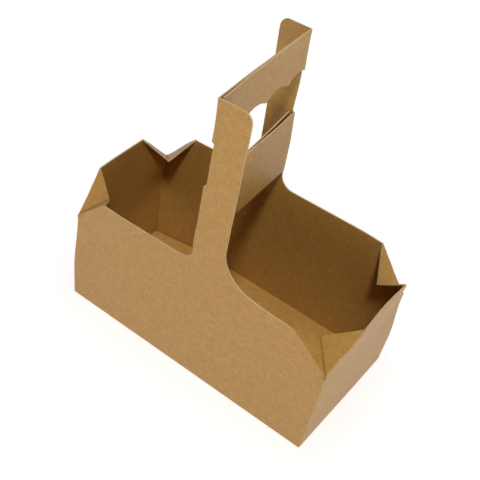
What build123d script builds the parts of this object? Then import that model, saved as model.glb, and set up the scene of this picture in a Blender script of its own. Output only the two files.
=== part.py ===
from build123d import *
import os

# A carrier for two hot drinks, folded and glued from one die-cut blank of brown kraft board.
# X runs along the long walls, Y from the front wall to the back wall, Z is up.
# The origin is at the middle of the base. All sizes are in millimetres.

# Board
board = 0.8                 # thickness of the sheet
fold_bend = 0.3             # inside radius of a fold

# Box
length = 168.0              # long walls, between the outer faces of the end walls
depth = 83.0                # end walls, between the outer faces of the long walls
wall_height = 88.5
end_skew = 8.0              # how much further out the back edge of the right end wall stands

# Tucked corners: each top corner is pushed in along a Y of three creases
tuck_drop = 22.0            # depth of the crossing of the Y below the wall's top edge
tuck_leg_long = 23.0        # from the corner to the crease on the long wall
tuck_leg_end = 22.0         # from the corner to the crease on the end wall
tuck_reach = 0.85           # 1 pushes the corner right through to its mirror place
crease_cuts = 5             # short cuts along each slanting crease, which make it fold sharply
crease_cut_length = 3.4
crease_cut_width = 0.5

# Handle: a strap on each long wall, and a flap folded in from each strap
handle_height = 189.0
strap_foot_width = 17.0
strap_top_width = 17.6
strap_corner_radius = 5.0
strap_outer_flare = 19.0    # radius between the strap's free edge and the wall's top edge
strap_inner_flare = 9.0     # radius between the strap's fold and the wall's top edge
divider_bottom = 100.0
divider_top = 139.5
divider_corner_radius = 6.0
flap_gap = 1.0              # from a flap's free edge to the far strap

# Hand hole
grip_bottom = 166.0         # lower edge of the grip at the straps
hole_notch = 1.5            # how far the hole runs into each strap, from its folded edge
notch_radius = 1.2
first_finger = 17.0         # from the back strap to the first cusp
finger_pitch = 21.0
finger_cusps = 3
finger_depth = 2.0          # from the lower edge at the straps down to a cusp
finger_rise = 1.5           # from the lower edge at the straps up to the top of a scallop
cusp_radius = 2.5

# Crash-lock base: two long flaps below two end flaps and two hooked tongues
seam_gap = 0.8
seam_step = 4.0             # how far the middle seam steps to each side
hip_reach = 38.0            # how far each end triangle reaches in between the long flaps
end_flap_bevel = 10.0
end_flap_tip = 8.0          # from the middle of the depth to the free corner of an end flap
flap_clearance = 2.5        # between a flap's free edge and the wall beside it
tongue_lap = 0.4            # how far each tongue runs past the middle, so that no light shows
tongue_length = 34.0        # from the middle to the tongue's outer side, where the end flap begins
tongue_overlap = 16.0       # how far a tongue runs over the other flap
tongue_root = 10.0          # how far it runs back over its own flap
tongue_radius = 6.0

# Glue tab, inside the front wall beside the left end wall
tab_width = 14.0
tab_bottom = 4.0
tab_bevel = 6.0

half_length = length / 2
half_depth = depth / 2
fold_radius = board + fold_bend
corner_sides = [(-1, -1), (1, -1), (1, 1), (-1, 1)]


def wall_corner(x_side, y_side, z=0.0):
    """Outside corner of the box at height z, with the skew of the right end wall."""
    skew = end_skew if (x_side, y_side) == (1, 1) else 0.0
    return Vector(x_side * half_length + skew, y_side * half_depth, z)


def tuck_points(x_side, y_side):
    """The flat corner, the crossing of the Y, its ends on the long and end walls, the pushed-in corner."""
    corner = wall_corner(x_side, y_side, wall_height)
    along = (wall_corner(-x_side, y_side, wall_height) - corner).normalized()
    across = (wall_corner(x_side, -y_side, wall_height) - corner).normalized()
    crossing = corner - Vector(0, 0, tuck_drop)
    long_rim = corner + along * tuck_leg_long
    end_rim = corner + across * tuck_leg_end
    normal = (long_rim - crossing).cross(end_rim - crossing).normalized()
    to_mirror = (corner - crossing).dot(normal)
    pushed_in = corner - normal * to_mirror * (1 + tuck_reach)
    return corner, crossing, long_rim, end_rim, pushed_in


def panel_plane(first, second, third):
    """The plane of a flat panel through three of its corners."""
    return Plane(origin=first, x_dir=second - first, z_dir=(second - first).cross(third - first))


def panel_outline(plane, *corners):
    """A panel's outline, drawn on its own plane from corners in space."""
    Polygon(*[plane.to_local_coords(corner) for corner in corners])


def box_block():
    """The box as a solid block, before its corners are pushed in."""
    with BuildPart() as block:
        with BuildSketch():
            Polygon(*[tuple(wall_corner(*sides))[:2] for sides in corner_sides])
        extrude(amount=wall_height)
        fillet(block.edges().filter_by(Axis.Z), radius=fold_radius)
        fillet(block.faces().sort_by(Axis.Z)[0].edges(), radius=fold_radius)
    return block.part


def corner_space(x_side, y_side):
    """The space that a pushed-in corner leaves: a pyramid each side of its mirror plane."""
    corner, crossing, long_rim, end_rim, pushed_in = tuck_points(x_side, y_side)
    beyond = 2 * corner - pushed_in
    mirror_plane = panel_plane(crossing, long_rim, end_rim)
    with BuildSketch(mirror_plane) as mirror_face:
        panel_outline(mirror_plane, crossing, long_rim, end_rim)
    with BuildPart() as space:
        loft(sections=[mirror_face.sketch.face(), Vertex(*pushed_in)])
        loft(sections=[mirror_face.sketch.face(), Vertex(*beyond)])
    return space.part


def tucked_panels(x_side, y_side):
    """The two triangles of a pushed-in corner, joined by the round of their valley fold."""
    crossing, long_rim, end_rim, pushed_in = tuck_points(x_side, y_side)[1:]
    turn = x_side * y_side
    valley = pushed_in - crossing
    with BuildPart() as panels:
        for rim, inward in ((long_rim, -turn), (end_rim, turn)):
            plane = panel_plane(crossing, rim, pushed_in)
            with BuildSketch(plane):
                panel_outline(plane, crossing, rim, pushed_in)
            extrude(amount=inward * board)
        with BuildSketch(Plane(origin=crossing - valley.normalized() * board, z_dir=valley)):
            Circle(board)
        extrude(amount=valley.length + board)
    return panels.part


def slanting_cuts(x_side, y_side):
    """The short cuts through the two slanting creases of a pushed-in corner."""
    corner, crossing, long_rim, end_rim, pushed_in = tuck_points(x_side, y_side)
    with BuildPart() as cuts:
        for rim in (long_rim, end_rim):
            crease = rim - crossing
            middle = (rim + crossing) / 2
            with BuildSketch(Plane(origin=middle, x_dir=crease, z_dir=corner - pushed_in)):
                with GridLocations(crease.length / crease_cuts, crease_cut_width, crease_cuts, 1):
                    Rectangle(crease_cut_length, crease_cut_width)
            extrude(amount=2 * board, both=True)
    return cuts.part


def strap_and_flap():
    """One half of the handle: the front strap and the flap folded in from it."""
    inner_foot = (-board - strap_inner_flare, wall_height)
    fold_foot = (-board, wall_height + strap_inner_flare)
    fold_top = (-board, handle_height)
    corner_start = (strap_top_width - strap_corner_radius, handle_height)
    corner_end = (strap_top_width, handle_height - strap_corner_radius)
    strap_foot = (strap_foot_width, wall_height + strap_outer_flare)
    outer_foot = (strap_foot_width + strap_outer_flare, wall_height)
    below_rim = wall_height - fold_radius
    flap_edge = half_depth - board - flap_gap
    front_face = Plane.XZ.offset(half_depth)

    with BuildPart() as half:
        with BuildSketch(front_face):
            with BuildLine():
                TangentArc(inner_foot, fold_foot, tangent=(1, 0))
                Polyline(fold_foot, fold_top, corner_start)
                TangentArc(corner_start, corner_end, tangent=(1, 0))
                Line(corner_end, strap_foot)
                TangentArc(strap_foot, outer_foot, tangent=(0, -1))
                Polyline(outer_foot, (outer_foot[0], below_rim), (inner_foot[0], below_rim), inner_foot)
            make_face()
        extrude(amount=-board)

        with BuildSketch(Plane.YZ) as flap_face:
            Polygon(
                (-half_depth, divider_bottom),
                (flap_edge, divider_bottom),
                (flap_edge, handle_height),
                (-half_depth, handle_height),
            )
            free_corner = flap_face.vertices().group_by(Axis.Y)[0].sort_by(Axis.X)[-1]
            fillet(free_corner, radius=divider_corner_radius)
        extrude(amount=-board)

        # The fold between them is rounded, from the flap's foot to the top
        with BuildSketch(Plane.XY.offset(divider_bottom)):
            with Locations((-board, -half_depth)):
                Rectangle(fold_radius, fold_radius, align=(Align.MIN, Align.MIN))
            with Locations((-board + fold_radius, -half_depth + fold_radius)):
                Circle(fold_radius, mode=Mode.SUBTRACT)
        extrude(amount=handle_height - divider_bottom, mode=Mode.SUBTRACT)

        # The end of the hand hole in the strap
        with BuildSketch(front_face) as notch:
            with Locations((-board, divider_top)):
                Rectangle(hole_notch, grip_bottom - divider_top, align=(Align.MIN, Align.MIN))
            fillet(notch.vertices().group_by(Axis.X)[-1], radius=notch_radius)
        extrude(amount=-board, mode=Mode.SUBTRACT)
    return half.part


def hand_hole():
    """The hole between the divider and the grip, with its finger scallops along the grip."""
    cusps = [half_depth - first_finger - count * finger_pitch for count in range(finger_cusps)]
    stops = [(half_depth, grip_bottom)]
    stops += [(cusp, grip_bottom - finger_depth) for cusp in cusps]
    stops += [(-half_depth, grip_bottom)]
    with BuildPart() as hole:
        with BuildSketch(Plane.YZ) as opening:
            with BuildLine():
                for start, end in zip(stops, stops[1:]):
                    ThreePointArc(start, ((start[0] + end[0]) / 2, grip_bottom + finger_rise), end)
                Polyline(stops[-1], (-half_depth, divider_top), (half_depth, divider_top), stops[0])
            make_face()
            cusp_points = opening.vertices().filter_by(lambda point: divider_top < point.Y < grip_bottom)
            fillet(cusp_points, radius=cusp_radius)
        extrude(amount=board, both=True)
    return hole.part


def base_cuts():
    """What is open in the lower layer of the base: the end triangles and the seam between long flaps."""
    seam_ends = []
    with BuildPart() as cuts:
        for x_side in (-1, 1):
            front = wall_corner(x_side, -1) - Vector(x_side * board, -fold_radius - flap_clearance)
            back = wall_corner(x_side, 1) - Vector(x_side * board, fold_radius + flap_clearance)
            hip = (front + back) / 2 - Vector(x_side * hip_reach, 0)
            seam_ends.append((hip.X + x_side * seam_gap, hip.Y))
            with BuildSketch():
                Polygon(*[tuple(point)[:2] for point in (front, back, hip)])
            extrude(amount=board)
        with BuildSketch():
            with BuildLine():
                Polyline(
                    seam_ends[0],
                    (-tongue_length, seam_step),
                    (0, seam_step),
                    (0, -seam_step),
                    (tongue_length, -seam_step),
                    seam_ends[1],
                )
            trace(line_width=seam_gap)
        extrude(amount=board)
    return cuts.part


def end_flap(x_side):
    """An end wall's base flap, glued to the back flap on the left and to the front flap on the right."""
    glued = -x_side
    into_wall = Vector(x_side * board / 2, 0)
    clear_of_walls = Vector(0, glued * (fold_radius + flap_clearance))
    free_foot = wall_corner(x_side, -glued) - into_wall + clear_of_walls
    glued_foot = wall_corner(x_side, glued) - into_wall - clear_of_walls
    tip_x = x_side * tongue_length
    with BuildPart() as flap:
        with BuildSketch(Plane.XY.offset(board)):
            Polygon(
                tuple(free_foot)[:2],
                (tip_x, -glued * end_flap_tip),
                (tip_x, glued_foot.Y - glued * end_flap_bevel),
                (tip_x + x_side * end_flap_bevel, glued_foot.Y),
                tuple(glued_foot)[:2],
            )
        extrude(amount=board)
    return flap.part


def tongue():
    """The front flap's hooked tongue, which lies over the back flap."""
    with BuildPart() as hook:
        with BuildSketch(Plane.XY.offset(board)) as outline:
            with Locations((-tongue_lap, -tongue_root)):
                Rectangle(
                    tongue_lap + tongue_length,
                    tongue_root + tongue_overlap,
                    align=(Align.MIN, Align.MIN),
                )
            fillet(outline.vertices().group_by(Axis.Y)[-1], radius=tongue_radius)
        extrude(amount=board)
    return hook.part


def glue_tab():
    """The tab on the left end wall, glued inside the front wall."""
    tab_top = wall_height - tuck_drop - tab_bottom
    with BuildPart() as tab:
        with BuildSketch(Plane.XZ.offset(half_depth - board)):
            Polygon(
                (-half_length + board / 2, tab_bottom),
                (-half_length + board + tab_width, tab_bottom + tab_bevel),
                (-half_length + board + tab_width, tab_top - tab_bevel),
                (-half_length + board / 2, tab_top),
            )
        extrude(amount=-board)
    return tab.part


block = box_block()
corner_spaces = [corner_space(*sides) for sides in corner_sides]
corner_panels = [tucked_panels(*sides) for sides in corner_sides]
corner_cuts = [slanting_cuts(*sides) for sides in corner_sides]
end_flaps = [end_flap(x_side) for x_side in (-1, 1)]
hook = tongue()
tab = glue_tab()
half_handle = strap_and_flap()
hole = hand_hole()
base_openings = base_cuts()

# The outer form that every panel of the box is trimmed to
with BuildPart() as outer_form:
    add(block)
    add(corner_spaces, mode=Mode.SUBTRACT)

with BuildPart() as cup_carrier:
    # Walls and long base flaps as one shell, then the pushed-in corners
    add(block)
    offset(amount=-board, openings=cup_carrier.faces().sort_by(Axis.Z)[-1])
    add(corner_panels)
    add(outer_form.part, mode=Mode.INTERSECT)
    add(corner_cuts, mode=Mode.SUBTRACT)

    # Base
    add(base_openings, mode=Mode.SUBTRACT)
    add(end_flaps)
    with PolarLocations(0, 2):
        add(hook)
    add(tab)

    # Handle
    with PolarLocations(0, 2):
        add(half_handle)
    add(hole, mode=Mode.SUBTRACT)

cup_carrier.part.label = "cup_carrier"
os.makedirs("parts", exist_ok=True)
export_step(cup_carrier.part, "parts/cup_carrier.step")

box = cup_carrier.part.bounding_box()
print(f"cup_carrier: {box.size.X:.1f} x {box.size.Y:.1f} x {box.size.Z:.1f} mm")
print(f"solids: {len(cup_carrier.part.solids())}, valid: {cup_carrier.part.is_valid}")
print(f"volume: {cup_carrier.part.volume:.0f} cubic mm")
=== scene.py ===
# %% [markdown]
# # A folded board carrier
# The carrier is one sheet of brown kraft board, cut to shape, creased, folded and glued. This lesson folds
# the same sheet in Blender: first as a surface with no thickness, which is easy to fold, and at the end
# the surface gets the thickness of the board. The model from the CAD step stays as the frame, and the
# sheet replaces what it shows.

# %% Load the frame
import math
from collections import namedtuple

import bmesh
import bpy
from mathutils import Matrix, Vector


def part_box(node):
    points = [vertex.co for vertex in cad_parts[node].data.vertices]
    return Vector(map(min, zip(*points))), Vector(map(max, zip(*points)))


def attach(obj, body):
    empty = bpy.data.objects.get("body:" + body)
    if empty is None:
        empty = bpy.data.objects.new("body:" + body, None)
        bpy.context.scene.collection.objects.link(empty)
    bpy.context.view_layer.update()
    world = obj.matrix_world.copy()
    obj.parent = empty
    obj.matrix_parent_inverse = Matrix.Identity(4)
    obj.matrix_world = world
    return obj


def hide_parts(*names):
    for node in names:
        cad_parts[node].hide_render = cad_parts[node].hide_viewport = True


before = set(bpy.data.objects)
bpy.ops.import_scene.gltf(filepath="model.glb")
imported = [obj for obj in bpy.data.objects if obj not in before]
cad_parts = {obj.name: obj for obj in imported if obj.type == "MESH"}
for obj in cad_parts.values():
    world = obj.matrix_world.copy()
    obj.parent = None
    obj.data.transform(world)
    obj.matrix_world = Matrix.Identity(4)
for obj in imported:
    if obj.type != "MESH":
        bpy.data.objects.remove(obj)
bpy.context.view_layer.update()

mm = 0.001
cad_node = "cup_carrier"
low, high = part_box(cad_node)
print("CAD box in mm:", [round(value / mm, 1) for value in (*low, *high)])

# %% [markdown]
# ## Sizes
# The outside sizes come from the frame. What the frame's box can't say, such as where a crease runs, is
# written once, in metres, in the cell that first needs it. The surface lies in the middle of the board,
# half a thickness inside.

# %% Sizes of the box
board = 0.8 * mm
half_length = -low.x
half_depth = high.y
end_skew = high.x - half_length
handle_height = high.z
wall_height = 88.5 * mm
mid_length = half_length - board / 2
mid_depth = half_depth - board / 2
foot = board / 2
print("middle of the board in mm:", round(2 * mid_length / mm, 1), "by", round(2 * mid_depth / mm, 1))

# %% [markdown]
# ## Picking by place
# A person clicks on an edge. A script finds it by its place: each helper here looks at the middle of every
# vertex, edge or face of the sheet, and selects those that pass a test. After that the same operators work
# as in edit mode.

# %% Helpers that select
same_place = 0.05 * mm


def pick(kind, test):
    """Selects the vertices, edges or faces whose middle passes the test. Returns how many."""
    bpy.ops.mesh.select_all(action="DESELECT")
    bpy.ops.mesh.select_mode(type=kind)
    form = bmesh.from_edit_mesh(bpy.context.object.data)
    found = 0
    for part in {"VERT": form.verts, "EDGE": form.edges, "FACE": form.faces}[kind]:
        corners = [part.co] if kind == "VERT" else [vertex.co for vertex in part.verts]
        if test(sum(corners, Vector()) / len(corners), part):
            part.select_set(True)
            found += 1
    form.select_flush_mode()
    bmesh.update_edit_mesh(bpy.context.object.data)
    return found


def pick_point(place):
    """Selects the vertex that is at a place."""
    return pick("VERT", lambda middle, vertex: (middle - Vector(place)).length < same_place)


def off_line(point, start, end):
    """How far a point lies from the straight line between two others."""
    start, line = Vector(start), Vector(end) - Vector(start)
    share = min(max((Vector(point) - start).dot(line) / line.length_squared, 0), 1)
    return (Vector(point) - start - line * share).length


def pick_edge(start, end):
    """Selects the edges that lie on the line from start to end."""
    return pick(
        "EDGE",
        lambda middle, edge: all(off_line(vertex.co, start, end) < same_place for vertex in edge.verts),
    )


# %% Helpers that shape
arc_steps = 10
round_profile = 0.5


def move_point(place, target):
    """Moves the point that is at a place. Says so if there is none."""
    if not pick_point(place):
        print("no point at", [round(value / mm, 2) for value in place])
    bpy.ops.transform.translate(value=Vector(target) - Vector(place))


def extrude(by):
    """Grows new faces from what is selected, and leaves their far side selected."""
    bpy.ops.mesh.extrude_region_move(TRANSFORM_OT_translate={"value": by})


def slice_sheet(place, normal):
    """Cuts what is selected with a flat plane."""
    bpy.ops.mesh.bisect(plane_co=place, plane_no=normal)


def round_point(place, radius, steps=arc_steps):
    """Rounds an outline's corner, as the die does."""
    if not pick_point(place):
        print("no corner at", [round(value / mm, 2) for value in place])
    bpy.ops.mesh.bevel(
        offset=radius, offset_type="OFFSET", segments=steps, profile=round_profile, affect="VERTICES"
    )


def split_edge(start, end, targets):
    """Puts new points on a straight edge and moves them to their places, in order from start to end."""
    start, end = Vector(start), Vector(end)
    pick_edge(start, end)
    bpy.ops.mesh.subdivide(number_cuts=len(targets))
    for index, target in enumerate(targets):
        share = (index + 1) / (len(targets) + 1)
        move_point(start.lerp(end, share), target)


# %% [markdown]
# ## The four walls
# The box starts as a cube of the mid-surface's size. Its top and bottom faces are deleted, which leaves the
# four walls as a ring, and the back corner of the right end moves out by the skew seen in the frame.

# %% Walls
level_normal = 0.9
bpy.ops.object.select_all(action="DESELECT")
bpy.ops.mesh.primitive_cube_add(size=1, location=(0, 0, (wall_height + foot) / 2))
sheet = bpy.context.object
sheet.name = "folded_board"
bpy.ops.transform.resize(value=(2 * mid_length, 2 * mid_depth, wall_height - foot))
bpy.ops.object.transform_apply(location=True, rotation=True, scale=True)

bpy.ops.object.mode_set(mode="EDIT")
pick("FACE", lambda middle, face: abs(face.normal.z) > level_normal)
bpy.ops.mesh.delete(type="ONLY_FACE")
pick("VERT", lambda middle, vertex: middle.x > 0 and middle.y > 0)
bpy.ops.transform.translate(value=(end_skew, 0, 0))
print("walls:", len(bmesh.from_edit_mesh(sheet.data).faces))


def wall_corner(x_side, y_side, z):
    """A place on one of the four upright folds, at a height."""
    skew = end_skew if x_side > 0 and y_side > 0 else 0
    return Vector((x_side * mid_length + skew, y_side * mid_depth, z))


# %% [markdown]
# ## The pushed-in corners
# Each top corner has a Y of creases. One flat cut makes both slanting creases at once, because the cut
# plane runs through the crossing of the Y and through its two ends on the rim. Pushing the corner through
# that plane then folds it. The whole way leads to the corner's mirror image, as far behind the plane as it
# stood in front, and a real corner stops a little short of that.

# %% Pushed-in corners
left_front = (-1, -1)
right_front = (1, -1)
right_back = (1, 1)
left_back = (-1, 1)
tuck_drop = 22 * mm
tuck_leg_long = 23 * mm
tuck_leg_end = 22 * mm
tuck_reach = 0.85

Tuck = namedtuple("Tuck", "crossing long_rim end_rim tip")
tucks = {}
for x_side, y_side in (left_front, right_front, right_back, left_back):
    corner = wall_corner(x_side, y_side, wall_height)
    along = (wall_corner(-x_side, y_side, wall_height) - corner).normalized()
    across = (wall_corner(x_side, -y_side, wall_height) - corner).normalized()
    crossing = corner - Vector((0, 0, tuck_drop))
    long_rim = corner + along * tuck_leg_long
    end_rim = corner + across * tuck_leg_end
    normal = (long_rim - crossing).cross(end_rim - crossing).normalized()
    bpy.ops.mesh.select_all(action="SELECT")
    slice_sheet(crossing, normal)
    tip = corner - normal * (corner - crossing).dot(normal) * (1 + tuck_reach)
    move_point(corner, tip)
    tucks[x_side, y_side] = Tuck(crossing, long_rim, end_rim, tip)
print("pushed-in corners:", len(tucks))

# %% [markdown]
# ## Straps
# Front and back strap are the same shape turned by half a turn, so one loop makes both: side 1 is the
# front, and for side -1 every place is turned about the vertical. The strap grows out of the wall's rim
# and stays one face with the wall, so that its foot can be rounded as one outline.

# %% Straps
layer_gap = 0.12 * mm
fold_x = -(board + layer_gap) / 2
strap_foot_width = 17 * mm
strap_top_width = 17.6 * mm
strap_corner_radius = 5 * mm
strap_outer_flare = 19 * mm
strap_inner_flare = 9 * mm
divider_bottom = 100 * mm
divider_top = 139.5 * mm
grip_bottom = 166 * mm
notch_x = 0.7 * mm
notch_radius = 1.1 * mm
notch_steps = 5
same_plane = math.radians(0.5)


def turned(side, x, y, z):
    """A place given for the front half, turned to the half that is being made."""
    return Vector((side * x, side * y, z))


for side in (1, -1):

    def in_wall(middle, face):
        """True on the faces in the plane of this half's long wall."""
        return abs(middle.y + side * mid_depth) < same_place

    inner = turned(side, fold_x, -mid_depth, wall_height)
    outer = turned(side, strap_foot_width, -mid_depth, wall_height)
    top = turned(side, strap_foot_width, -mid_depth, handle_height)
    top_corner = turned(side, strap_top_width, -mid_depth, handle_height)
    for place in (inner, outer):
        pick("FACE", in_wall)
        slice_sheet(place, (1, 0, 0))
    pick_edge(inner, outer)
    extrude((0, 0, handle_height - wall_height))
    move_point(top, top_corner)
    pick("FACE", in_wall)
    bpy.ops.mesh.dissolve_limited(angle_limit=same_plane)
    round_point(inner, strap_inner_flare)
    round_point(outer, strap_outer_flare)
    round_point(top_corner, strap_corner_radius)

    # Points along the fold for the two flaps, and the end of the hand hole between them
    notch_low = turned(side, notch_x, -mid_depth, divider_top)
    notch_high = turned(side, notch_x, -mid_depth, grip_bottom)
    split_edge(
        turned(side, fold_x, -mid_depth, wall_height + strap_inner_flare),
        turned(side, fold_x, -mid_depth, handle_height),
        [
            turned(side, fold_x, -mid_depth, divider_bottom),
            turned(side, fold_x, -mid_depth, divider_top),
            notch_low,
            notch_high,
            turned(side, fold_x, -mid_depth, grip_bottom),
        ],
    )
    for place in (notch_low, notch_high):
        round_point(place, notch_radius, notch_steps)
print("points with both straps:", len(bmesh.from_edit_mesh(sheet.data).verts))

# %% [markdown]
# ## Divider and grip
# The strap's fold carries two flaps: a low one, which is the divider, and a high one, which is the grip.
# The hand hole is what is left between them. The grip's lower edge is cut in finger scallops, and both
# layers are cut alike, so the scallops are a function of the place along the grip.

# %% Flaps of the handle
flap_gap = 1 * mm
flap_edge = half_depth - board - flap_gap
flap_length = mid_depth + flap_edge
divider_corner_radius = 6 * mm
first_finger = 17 * mm
finger_pitch = 21 * mm
finger_cusps = 3
finger_depth = 2 * mm
finger_rise = 1.5 * mm
cusp_softening = 1.2 * mm
softening_shares = (-1, -0.5, 0, 0.5, 1)
scallop_cuts = 95


def sharp_scallop(y):
    """Height of the grip's lower edge at a place along the handle, as parabolas that meet in cusps."""
    cusps = [half_depth - first_finger - count * finger_pitch for count in range(finger_cusps)]
    stops = [half_depth] + cusps + [-half_depth]
    heights = [grip_bottom] + [grip_bottom - finger_depth] * finger_cusps + [grip_bottom]
    for start, end, first, last in zip(stops, stops[1:], heights, heights[1:]):
        if start >= y >= end:
            share = (start - y) / (start - end)
            rise = grip_bottom + finger_rise - (first + last) / 2
            return first + (last - first) * share + rise * 4 * share * (1 - share)
    return grip_bottom


def scallop_height(y):
    """The same with soft cusps: the mean of the heights a little to each side."""
    places = [y + cusp_softening * share for share in softening_shares]
    return sum(sharp_scallop(place) for place in places) / len(places)


for side in (1, -1):
    for bottom, top in ((divider_bottom, divider_top), (grip_bottom, handle_height)):
        pick_edge(turned(side, fold_x, -mid_depth, bottom), turned(side, fold_x, -mid_depth, top))
        extrude((0, side * flap_length, 0))
    round_point(turned(side, fold_x, flap_edge, divider_bottom), divider_corner_radius)
    pick_edge(turned(side, fold_x, -mid_depth, grip_bottom), turned(side, fold_x, flap_edge, grip_bottom))
    bpy.ops.mesh.subdivide(number_cuts=scallop_cuts)
    form = bmesh.from_edit_mesh(sheet.data)
    for vertex in form.verts:
        if vertex.select:
            vertex.co.z = scallop_height(vertex.co.y)
    bmesh.update_edit_mesh(sheet.data)
print("points with the flaps:", len(form.verts))

# %% [markdown]
# ## The base
# The base locks itself. The end flaps lie on top of the two long flaps, and the middle seam steps from one
# side to the other, so that each long flap has a tongue that rides up over the other flap and hooks there.

# %% Long base flaps and their tongues
seam_gap = 0.8 * mm
seam_step = 4 * mm
hip_x = 45.2 * mm
corner_cut = 1.2 * mm
tongue_side = 34 * mm
tongue_overlap = 16 * mm
tongue_radius = 6 * mm
tongue_ramp = 2.5 * mm
end_flap_tip = 8 * mm
end_flap_bevel = 10 * mm
side_play = 0.3 * mm
layer_rise = board + 0.08 * mm

for side in (1, -1):
    left = wall_corner(-side, -side, foot)
    right = wall_corner(side, -side, foot)
    inset = Vector((side * corner_cut, 0, 0))
    split_edge(left, right, [left + inset, right - inset])
    pick_edge(left + inset, right - inset)
    reach = Vector((0, side * mid_depth, 0))
    extrude(reach)
    hip_left = turned(side, -hip_x, 0, foot)
    hip_right = turned(side, hip_x, 0, foot)
    move_point(left + inset + reach, hip_left)
    move_point(right - inset + reach, hip_right)

    upper_y = seam_step - seam_gap / 2
    lower_y = -seam_step - seam_gap / 2
    ramp_y = lower_y - tongue_ramp
    tongue_left = turned(side, -seam_gap / 2, ramp_y, foot)
    tongue_right = turned(side, tongue_side - side_play, ramp_y, foot)
    split_edge(
        hip_left,
        hip_right,
        [
            turned(side, -tongue_side, upper_y, foot),
            turned(side, -seam_gap / 2, upper_y, foot),
            tongue_left,
            tongue_right,
        ],
    )
    # The tongue rises by one layer and runs on over the other flap
    pick_edge(tongue_left, tongue_right)
    extrude((0, side * tongue_ramp, layer_rise))
    extrude((0, side * (tongue_overlap - lower_y), 0))
    climb = Vector((0, side * (tongue_overlap - ramp_y), layer_rise))
    for place in (tongue_left, tongue_right):
        round_point(place + climb, tongue_radius)
print("points with the long base flaps:", len(bmesh.from_edit_mesh(sheet.data).verts))

# %% End flaps
for x_side in (-1, 1):
    glued = -x_side
    front = wall_corner(x_side, -1, foot)
    back = wall_corner(x_side, 1, foot)
    inset = (back - front).normalized() * corner_cut
    split_edge(front, back, [front + inset, back - inset])
    pick_edge(front + inset, back - inset)
    lift = Vector((0, 0, layer_rise))
    bpy.ops.transform.translate(value=lift)
    reach = Vector((-x_side * (mid_length - tongue_side), 0, 0))
    extrude(reach)
    glued_foot = back - inset if glued > 0 else front + inset
    free_foot = front + inset if glued > 0 else back - inset
    tip_x = x_side * tongue_side
    free_tip = Vector((tip_x, -glued * end_flap_tip, foot + layer_rise))
    glued_tip = Vector((tip_x, glued_foot.y, foot + layer_rise))
    move_point(free_foot + reach + lift, free_tip)
    move_point(glued_foot + reach + lift, glued_tip)
    pick_point(glued_tip)
    bpy.ops.mesh.bevel(offset=end_flap_bevel, segments=1, affect="VERTICES")
print("points with the end flaps:", len(bmesh.from_edit_mesh(sheet.data).verts))

# %% [markdown]
# ## Glue tab
# The ring of walls is closed by a tab, which is glued inside the front wall beside the left end wall. It is
# a sheet of its own here, because a surface that branches can't be given a thickness.

# %% Glue tab
tab_width = 14 * mm
tab_bottom = 4 * mm
tab_top = wall_height - tuck_drop - tab_bottom
tab_bevel = 6 * mm
glue_film = 0.05 * mm
tab_y = -mid_depth + board + glue_film
tab_x = -half_length + board + glue_film
bpy.ops.mesh.select_all(action="DESELECT")
tab_middle = (tab_x + tab_width / 2, tab_y, (tab_bottom + tab_top) / 2)
bpy.ops.mesh.primitive_plane_add(size=1, location=tab_middle, rotation=(math.pi / 2, 0, 0))
bpy.ops.transform.resize(value=(tab_width, 1, tab_top - tab_bottom))
tab_end = tab_x + tab_width
move_point((tab_end, tab_y, tab_bottom), (tab_end, tab_y, tab_bottom + tab_bevel))
move_point((tab_end, tab_y, tab_top), (tab_end, tab_y, tab_top - tab_bevel))
print("flat faces:", len(bmesh.from_edit_mesh(sheet.data).faces))

# %% [markdown]
# ## Corners out of true
# No carrier is folded quite as the die meant it. The ends of the slanting creases and the tips of three
# pushed-in corners shift a little, and they do it here, while the sheet has few points, because its edges
# then stay straight.

# %% Corners out of true
# For each corner, the shifts of its end on the long wall, its end on the end wall, and its tip
out_of_true = {
    left_front: [(-1.0 * mm, 0, -0.6 * mm), (0, -1.0 * mm, 0.9 * mm), (-2.0 * mm, 1.2 * mm, 1.0 * mm)],
    right_front: [(-1.8 * mm, 0, -2.2 * mm), (0, 0, 0), (-1.5 * mm, -0.6 * mm, -0.4 * mm)],
    left_back: [(0, 0, -0.6 * mm), (0, -1.3 * mm, 0.1 * mm), (1.0 * mm, -0.8 * mm, 1.1 * mm)],
}
for sides, shifts in out_of_true.items():
    crossing, *ends = tucks[sides]
    moved = [end + Vector(shift) for end, shift in zip(ends, shifts)]
    for end, target in zip(ends, moved):
        move_point(end, target)
    tucks[sides] = Tuck(crossing, *moved)
print("corners out of true:", len(out_of_true))

# %% [markdown]
# ## Creases
# A crease isn't a knife edge: board folds round a small radius. One bevel over all folds gives them that
# radius, or less where creases meet and would run into each other. Before it, the folds are found as the
# edges that join two faces which don't lie in one plane.

# %% Rounded creases
fold_radius = 0.7 * mm
fold_steps = 3
flat_limit = math.radians(3)


def is_narrow(face):
    """True on the faces of a rounded crease: they are thin strips beside the panels."""
    return face.calc_area() < fold_radius * max(edge.calc_length() for edge in face.edges)


bpy.ops.mesh.select_all(action="SELECT")
bpy.ops.mesh.normals_make_consistent(inside=False)
folds = pick("EDGE", lambda middle, edge: len(edge.link_faces) == 2 and edge.calc_face_angle(0) > flat_limit)
form = bmesh.from_edit_mesh(sheet.data)
fold_lines = [[vertex.co.copy() for vertex in edge.verts] for edge in form.edges if edge.select]
bpy.ops.mesh.bevel(
    offset=fold_radius,
    offset_type="OFFSET",
    segments=fold_steps,
    profile=round_profile,
    affect="EDGES",
    clamp_overlap=True,
)
print("folds:", folds)

# %% [markdown]
# ## Cut creases
# The slanting creases are cut through in short dashes, so that the thick board folds on a sharp line. The
# middle strip of each rounded crease is sliced across at the ends of the dashes, and every second piece
# is deleted.

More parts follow.
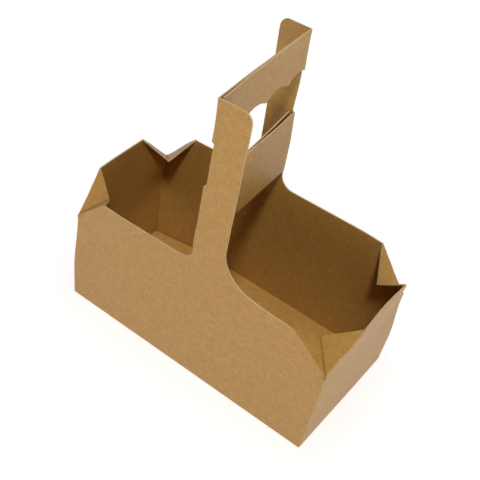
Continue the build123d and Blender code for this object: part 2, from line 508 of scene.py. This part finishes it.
# %% Dashes along the slanting creases
dash_count = 3
dash_length = 5 * mm
dash_pitch = 10.2 * mm
first_dash = 3.3 * mm
for crossing, long_rim, end_rim, tip in tucks.values():
    for rim in (long_rim, end_rim):
        direction = (rim - crossing).normalized()
        centres = [crossing + direction * (first_dash + count * dash_pitch) for count in range(dash_count)]

        def on_strip(middle, face):
            """True on the middle strip of the crease: it has no panel beside it."""
            beside = [other for edge in face.edges for other in edge.link_faces if other != face]
            return off_line(middle, crossing, rim) < fold_radius and all(is_narrow(other) for other in beside)

        def on_dash(middle, face):
            """True where the strip is cut through."""
            return on_strip(middle, face) and any(
                abs((middle - centre).dot(direction)) < dash_length / 2 for centre in centres
            )

        for centre in centres:
            for end in (-1, 1):
                pick("FACE", on_strip)
                slice_sheet(centre + direction * end * dash_length / 2, direction)
        cut = pick("FACE", on_dash)
        bpy.ops.mesh.delete(type="FACE")
print("dashes on the last crease:", cut)

# %% [markdown]
# ## Lines beside the valleys
# The valley of a pushed-in corner gets a thin line of painted shade. The material can only fade between
# points of the mesh, so each valley gets a cut along each side of it, where its painted shade is to end.

# %% Lines beside the valleys
# Width of the line of painted shade along each valley
valley_shade_width = 1.9 * mm
panel_reach = 15 * mm
leaning_normal = 0.2
for crossing, long_rim, end_rim, tip in tucks.values():

    def on_panel(middle, face):
        """True on the two leaning panels of this corner."""
        return abs(face.normal.z) > leaning_normal and off_line(middle, crossing, tip) < panel_reach

    along = (tip - crossing).normalized()
    across = end_rim - long_rim
    across = (across - along * across.dot(along)).normalized()
    for end in (-1, 1):
        panels = pick("FACE", on_panel)
        slice_sheet(crossing + across * end * valley_shade_width / 2, across)
print("faces cut beside the last valley:", panels)

# %% [markdown]
# ## An even net of faces
# Flat faces can't bend. Slicing the whole sheet along x, y and z gives it an even net, on which the walls
# can bow a little as real board does.

# %% Slices
slice_pitch = 4 * mm
for axis in range(3):
    start, end = low[axis], high[axis]
    count = int((end - start) / slice_pitch)
    for index in range(1, count):
        place = Vector((0, 0, 0))
        place[axis] = start + (end - start) * index / count
        normal = Vector((0, 0, 0))
        normal[axis] = 1
        bpy.ops.mesh.select_all(action="SELECT")
        slice_sheet(place, normal)
print("faces after slicing:", len(bmesh.from_edit_mesh(sheet.data).faces))

# %% [markdown]
# ## Marking the creases
# The points on a crease are marked in an attribute: 1 where the crease stands out, and -1 in the valleys of
# the pushed-in corners. The material reads it, to wear the ridges and to paint shade into the valleys. A mark
# is part of the mesh, so it stays on the crease when the sheet settles.

# %% Mark the creases
in_valley = valley_shade_width / 12
form = bmesh.from_edit_mesh(sheet.data)
wear_and_valley_shade = form.verts.layers.float.new("wear_and_valley_shade")
valleys = [(tuck.crossing, tuck.tip) for tuck in tucks.values()]


def is_on(vertex, lines, reach):
    """True for a vertex nearer to one of the lines than the reach."""
    return any(off_line(vertex.co, *line) < reach for line in lines)


# A point inside a rounding has thin faces all round, and one on its border has a panel beside it
# Points in a valley are marked for painted shade, and points on a ridge for wear
for vertex in form.verts:
    if is_on(vertex, valleys, in_valley):
        vertex[wear_and_valley_shade] = -1
    elif all(is_narrow(face) for face in vertex.link_faces) and is_on(vertex, fold_lines, fold_radius):
        vertex[wear_and_valley_shade] = 1
bmesh.update_edit_mesh(sheet.data)
print("points on ridges:", sum(vertex[wear_and_valley_shade] > 0 for vertex in form.verts))
print("points in valleys:", sum(vertex[wear_and_valley_shade] < 0 for vertex in form.verts))

# %% [markdown]
# ## Settling
# A folded carrier is never quite square: a wall bows, the handle leans and the two layers of the grip come
# apart a little. Proportional editing does this: a point is moved, and what lies round it follows less and
# less. For the layers it follows along the sheet only, so that one layer moves and the other stays.

# %% Settling
def nudge(place, by, reach, along_sheet=False):
    """Moves the point nearest to a place, and its surroundings with it."""
    form = bmesh.from_edit_mesh(sheet.data)
    nearest = min(form.verts, key=lambda vertex: (vertex.co - Vector(place)).length)
    spot = nearest.co.copy()
    pick_point(spot)
    bpy.ops.transform.translate(
        value=by,
        use_proportional_edit=True,
        proportional_edit_falloff="SMOOTH",
        proportional_size=reach,
        use_proportional_connected=along_sheet,
    )


handle_top_back = (fold_x, mid_depth, handle_height)
grip_front = (fold_x, -mid_depth, (grip_bottom + handle_height) / 2)
divider_front = (fold_x, -mid_depth, (divider_bottom + divider_top) / 2)
strap_front_foot = (fold_x, -mid_depth, divider_bottom)
front_rim_right = (44 * mm, -mid_depth, wall_height)

# Each line is a place, how far it moves, how far round it the sheet follows, and whether only along the sheet
settling = [
    # The handle leans to the left at its back, and the fold of the front strap isn't straight
    (handle_top_back, (-1.9 * mm, 0, -0.2 * mm), 100 * mm, False),
    (handle_top_back, (0, -0.6 * mm, 0), 60 * mm, False),
    (grip_front, (0.9 * mm, 0, 0), 28 * mm, False),
    (divider_front, (-0.6 * mm, 0, 0), 30 * mm, False),
    (strap_front_foot, (-1.2 * mm, 0, 0), 22 * mm, False),
    # Pushing a corner in draws the crossing of its creases in as well
    (tucks[left_front].crossing, (1.6 * mm, 2.0 * mm, 0), 45 * mm, False),
    (tucks[left_back].crossing, (3.0 * mm, -1.2 * mm, -1.4 * mm), 30 * mm, False),
    (tucks[right_back].crossing, (-2.2 * mm, -3.2 * mm, -1.5 * mm), 45 * mm, False),
    (tucks[right_front].crossing, (-0.5 * mm, 0, 0), 20 * mm, False),
    # The front rim sags in the right cell, and the right end wall bows outward at its rim
    (front_rim_right, (0, 0, -1.5 * mm), 26 * mm, False),
    (tucks[right_front].end_rim, (2.2 * mm, 0, -0.6 * mm), 30 * mm, False),
    (tucks[right_back].end_rim, (2.2 * mm, 1.4 * mm, 1.0 * mm), 30 * mm, False),
    # The base pulls its left back corner in, and the right back corner lifts
    (wall_corner(*left_back, foot), (4 * mm, -5 * mm, 0), 45 * mm, False),
    (wall_corner(*right_back, foot), (0, 0, 1.2 * mm), 30 * mm, False),
    # The free end of each layer of the handle stands off the other layer
    ((fold_x, flap_edge, handle_height), (-1.0 * mm, 0, 0), 32 * mm, True),
    ((fold_x, flap_edge, divider_top), (-1.4 * mm, 0, 0.4 * mm), 50 * mm, True),
    ((-fold_x, mid_depth, divider_top), (-0.8 * mm, 0, 0), 20 * mm, False),
    ((-fold_x, -flap_edge, handle_height), (0.5 * mm, 0, 0), 25 * mm, True),
    ((-fold_x, -flap_edge, divider_top), (0.6 * mm, 0, 0), 25 * mm, True),
]
for place, by, reach, along_sheet in settling:
    nudge(place, by, reach, along_sheet)
bpy.ops.object.mode_set(mode="OBJECT")
print("nudges:", len(settling))

# %% [markdown]
# ## Thickness
# Solidify gives the surface the thickness of the board, half to each side. The faces that it makes along
# the cut outline take the second material, because a cut edge shows the pale fibres inside the board.

# %% Solidify
smooth_limit = math.radians(35)
for slot in range(2):
    sheet.data.materials.append(None)
thickness = sheet.modifiers.new("board", "SOLIDIFY")
thickness.thickness = board
thickness.offset = 0
thickness.use_even_offset = True
thickness.use_quality_normals = True
thickness.material_offset_rim = 1
bpy.context.view_layer.objects.active = sheet
bpy.ops.object.modifier_apply(modifier=thickness.name)
bpy.ops.object.shade_smooth_by_angle(angle=smooth_limit)
print("faces of the board:", len(sheet.data.polygons))

# %% [markdown]
# ## Shader maths
# Node trees are easier to read as sums. A small class wraps a socket, so that an expression on it adds the
# Math nodes, and one method adds every other kind of node.

# %% A class for shader expressions
class Wire:
    """A value in a node tree. Arithmetic on it adds Math nodes."""

    def __init__(self, tree, socket):
        """Keeps the tree that the nodes are added to, and the output that this wire comes from."""
        self.tree = tree
        self.socket = socket

    def node(self, kind, settings=None, output=0, **values):
        """Adds a node, makes its settings, fills its inputs, and returns one output, by number or name.

        An input is given by its name, with _ for a space, or as in0 or in1 where several share a name.
        """
        made = self.tree.nodes.new(kind)
        for name, value in (settings or {}).items():
            setattr(made, name, value)
        for name, value in values.items():
            key = int(name[2:]) if name in ("in0", "in1") else name.replace("_", " ")
            self.fill(made.inputs[key], value)
        return Wire(self.tree, made.outputs[output])

    def fill(self, socket, value):
        """Links a wire to a socket, or sets a plain value on it."""
        if isinstance(value, Wire):
            self.tree.links.new(value.socket, socket)
        else:
            socket.default_value = value

    def maths(self, operation, first, second):
        """Adds one Math node."""
        return self.node("ShaderNodeMath", {"operation": operation}, in0=first, in1=second)

    def __add__(self, other):
        return self.maths("ADD", self, other)

    def __radd__(self, other):
        return self.maths("ADD", other, self)

    def __sub__(self, other):
        return self.maths("SUBTRACT", self, other)

    def __rsub__(self, other):
        return self.maths("SUBTRACT", other, self)

    def __mul__(self, other):
        return self.maths("MULTIPLY", self, other)

    def __rmul__(self, other):
        return self.maths("MULTIPLY", other, self)

    def stretch(self, start, end):
        """Maps start to 0 and end to 1, and holds the value between."""
        return self.node("ShaderNodeMapRange", Value=self, From_Min=start, From_Max=end)

    def mix(self, first, second):
        """Mixes two colours, with this value as the share of the second."""
        made = self.tree.nodes.new("ShaderNodeMix")
        made.data_type = "RGBA"
        for name, value in (("Factor_Float", self), ("A_Color", first), ("B_Color", second)):
            self.fill(next(item for item in made.inputs if item.identifier == name), value)
        return Wire(self.tree, next(item for item in made.outputs if item.identifier == "Result_Color"))


def new_material(name):
    """Returns a new material, its coordinates as a Wire, and its Principled shader."""
    material = bpy.data.materials.new(name)
    material.use_nodes = True
    tree = material.node_tree
    place = tree.nodes.new("ShaderNodeTexCoord")
    return material, Wire(tree, place.outputs["Object"]), tree.nodes["Principled BSDF"]


def feed(shader, **wires):
    """Links wires to a shader's inputs, given by their names."""
    for name, wire in wires.items():
        wire.tree.links.new(wire.socket, shader.inputs[name.replace("_", " ")])


# %% [markdown]
# ## Kraft board
# Uncoated kraft is brown pulp, with short pale and dark fibres lying in all directions and a faint tooth from
# the felt it dried on. The clouds, the mottle and the grain are three scales of noise, and a fibre is a noise
# stretched along one direction. The ridges are rubbed paler, and the valleys are darkened with painted shade.

# %% Noise and fibres
def noise(place, scale, detail, roughness):
    """A cloudy pattern between 0 and 1. A higher scale makes it finer, more detail makes it crisper."""
    return place.node("ShaderNodeTexNoise", Vector=place, Scale=scale, Detail=detail, Roughness=roughness)


def fibres(place, turn, width, length, peak):
    """Short thin streaks: a noise stretched along one direction, and cut to its peaks.

    The peak gives the heights of the noise at which a fibre begins and at which it is at its full strength.
    """
    laid = place.node(
        "ShaderNodeMapping",
        {"vector_type": "POINT"},
        Vector=place,
        Rotation=turn,
        Scale=(1 / width, 1 / width, 1 / length),
    )
    return noise(laid, scale=1.0, detail=1.0, roughness=0.5).stretch(*peak)


# %% Kraft finish
brown = (0.48, 0.256, 0.054, 1)
pale_brown = (0.57, 0.315, 0.074, 1)
deep_brown = (0.40, 0.20, 0.038, 1)
pale_fibre = (0.60, 0.41, 0.20, 1)
dark_fibre = (0.17, 0.09, 0.035, 1)
rubbed_brown = (0.62, 0.40, 0.16, 1)
# Painted shade for the valleys of the pushed-in corners
painted_valley_shade = (0.19, 0.085, 0.012, 1)
cloud_band = (0.3, 0.7)
mottle_band = (0.42, 0.72)
mottle_share = 0.8
fibre_share = 0.5
more_fibre_share = 0.45
ridge_share = 0.4
valley_shade_share = 0.85
grain_height = 0.6
mottle_height = 0.8
fibre_height = 0.3
least_roughness = 0.42
roughness_spread = 0.16

kraft, place, shader = new_material("kraft_board")
clouds = noise(place, scale=240.0, detail=3.0, roughness=0.6)
mottle = noise(place, scale=900.0, detail=3.0, roughness=0.7)
grain = noise(place, scale=2600.0, detail=2.0, roughness=0.6)
pale_fibres = fibres(place, (0.4, 0.9, 0.2), width=0.25 * mm, length=2.4 * mm, peak=(0.62, 0.75))
more_pale_fibres = fibres(place, (1.3, 0.3, 1.1), width=0.22 * mm, length=2.0 * mm, peak=(0.63, 0.76))
dark_fibres = fibres(place, (0.9, 1.7, 0.5), width=0.2 * mm, length=1.6 * mm, peak=(0.66, 0.76))

tone = clouds.stretch(*cloud_band).mix(brown, pale_brown)
tone = (mottle.stretch(*mottle_band) * mottle_share).mix(tone, deep_brown)
tone = (pale_fibres * fibre_share).mix(tone, pale_fibre)
tone = (more_pale_fibres * more_fibre_share).mix(tone, pale_fibre)
tone = (dark_fibres * fibre_share).mix(tone, dark_fibre)
crease = place.node("ShaderNodeAttribute", {"attribute_name": "wear_and_valley_shade"}, output="Fac")
tone = (crease.stretch(0, 1) * ridge_share).mix(tone, rubbed_brown)
# Painted shade: the valleys of the pushed-in corners are darkened
tone = (crease.stretch(0, -1) * valley_shade_share).mix(tone, painted_valley_shade)
tooth = grain * grain_height + mottle * mottle_height + pale_fibres * fibre_height
relief = place.node("ShaderNodeBump", Strength=0.4, Distance=0.14 * mm, Height=tooth)
feed(shader, Base_Color=tone, Normal=relief, Roughness=least_roughness + mottle * roughness_spread)
shader.inputs["IOR"].default_value = 1.45
print("nodes of the kraft finish:", len(kraft.node_tree.nodes))

# %% [markdown]
# ## Cut edges
# Where the die cut the board, its inside shows: paler, and in thin layers.

# %% Cut edge finish
inner_pulp = (0.58, 0.39, 0.18, 1)
pale_pulp = (0.78, 0.57, 0.32, 1)
cut_edge, place, shader = new_material("cut_edge")
plies = noise(place, scale=1500.0, detail=3.0, roughness=0.7)
edge_tone = plies.stretch(*cloud_band).mix(inner_pulp, pale_pulp)
rough_cut = place.node("ShaderNodeBump", Strength=0.4, Distance=0.1 * mm, Height=plies)
feed(shader, Base_Color=edge_tone, Normal=rough_cut)
shader.inputs["Roughness"].default_value = 0.8

sheet.data.materials[0] = kraft
sheet.data.materials[1] = cut_edge
print("faces along the cut outline:", sum(face.material_index for face in sheet.data.polygons))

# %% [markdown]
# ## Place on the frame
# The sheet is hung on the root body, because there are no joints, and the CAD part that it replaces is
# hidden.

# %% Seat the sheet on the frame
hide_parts(cad_node)
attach(sheet, "root")
print(sheet.name, "replaces", cad_node)

# %% [markdown]
# ## Floor
# The floor is a sheet of pale paper that glows a little, as on a photographer's light table, so that shadows
# stay faint. The glow grows with the distance. There is none under the carrier, where no light would get
# out, and the edge of that dark patch lies a little inside the walls. The right end wall stands askew, so
# the patch is wider at the back.

# %% Floor
floor_size = 20
paper_white = (0.93, 0.915, 0.925, 1)
no_glow = (0, 0, 0, 1)
near_glow = (0.40, 0.395, 0.40, 1)
far_glow = (0.72, 0.715, 0.72, 1)
glow_start = 0.1
glow_end = 0.6
patch_inset = 6 * mm

bpy.ops.object.select_all(action="DESELECT")
bpy.ops.mesh.primitive_plane_add(size=floor_size, location=(0, 0, 0))
floor = bpy.context.object
floor.name = "floor"
paper, place, shader = new_material("floor_paper")
shader.inputs["Base Color"].default_value = paper_white
shader.inputs["Roughness"].default_value = 0.9
shader.inputs["Emission Strength"].default_value = 1.0

# %% Glow of the floor
floor_x = place.node("ShaderNodeSeparateXYZ", output="X", Vector=place)
floor_y = place.node("ShaderNodeSeparateXYZ", output="Y", Vector=place)
skew_here = (floor_y + half_depth) * (end_skew / (2 * half_depth))
past_ends = place.maths("MAXIMUM", floor_x * -1, floor_x - skew_here)
past_sides = place.maths("MAXIMUM", floor_y * -1, floor_y)
outside = place.maths(
    "MAXIMUM",
    past_ends.stretch(half_length - patch_inset, half_length),
    past_sides.stretch(half_depth - patch_inset, half_depth),
)
distance = place.node("ShaderNodeVectorMath", {"operation": "LENGTH"}, output="Value", in0=place)
glow = distance.stretch(glow_start, glow_end).mix(near_glow, far_glow)
feed(shader, Emission_Color=outside.mix(no_glow, glow))
floor.data.materials.append(paper)
print("nodes of the floor:", len(paper.node_tree.nodes))

# %% [markdown]
# ## Light
# Pale walls stand at the horizon and there is nothing above them, so that the inside of the box gets dark
# as in a studio. One softbox stands high in front, a little to the right, and makes the walls' tones. A
# broad one overhead fills in, and a faint one lights the right end. The standard view transform keeps the
# white floor white.

# %% Walls of the studio
wall_top = 0.25
wall_foot = 0.02
bpy.context.scene.view_settings.view_transform = "Standard"
world = bpy.data.worlds.new("studio")
bpy.context.scene.world = world
world.use_nodes = True
tree = world.node_tree
direction = Wire(tree, tree.nodes.new("ShaderNodeTexCoord").outputs["Generated"])
height = direction.node("ShaderNodeSeparateXYZ", output="Z", Vector=direction)
feed(tree.nodes["Background"], Color=height.stretch(wall_top, wall_foot).mix(no_glow, far_glow))

# %% Softboxes
middle_of_carrier = Vector((0, 0, 0.08))


def softbox(name, place, size, power):
    """Adds a square area light that faces the carrier. Size in metres, power in watts."""
    data = bpy.data.lights.new(name, "AREA")
    data.shape = "SQUARE"
    data.size = size
    data.energy = power
    lamp = bpy.data.objects.new(name, data)
    bpy.context.scene.collection.objects.link(lamp)
    lamp.location = place
    lamp.rotation_euler = (middle_of_carrier - Vector(place)).to_track_quat("-Z", "Y").to_euler()
    print("softbox", name, "of", power, "W")


softbox("key", place=(0.40, -0.86, 2.0), size=0.24, power=19.5)
softbox("overhead", place=(0, 0, 2.2), size=1.4, power=14)
softbox("right", place=(1.3, -0.4, 0.5), size=0.9, power=1)

# %% [markdown]
# ## Camera
# The camera's place, turn and focal length were solved from the carrier's straight edges in the photograph.
# The lens looks at a point a little beside the picture's middle, as it does in a cropped photograph, and the
# shift gives that.

# %% Camera
picture_size = 480
lens_centre_x = 211.2
lens_centre_y = 211.2
focal_length_pixels = 713.55
sensor_width = 36
nearest = 0.01
camera_place = (0.12644, -0.25393, 0.35434)
camera_turn = (46.850, -6.816, 36.061)

camera_data = bpy.data.cameras.new("camera")
camera_data.sensor_width = sensor_width
camera_data.lens = focal_length_pixels / picture_size * sensor_width
camera_data.shift_x = 0.5 - lens_centre_x / picture_size
camera_data.shift_y = lens_centre_y / picture_size - 0.5
camera_data.clip_start = nearest
camera = bpy.data.objects.new("camera", camera_data)
bpy.context.scene.collection.objects.link(camera)
camera.location = camera_place
camera.rotation_euler = [math.radians(angle) for angle in camera_turn]
bpy.context.scene.camera = camera
print("lens in mm:", round(camera_data.lens, 1))
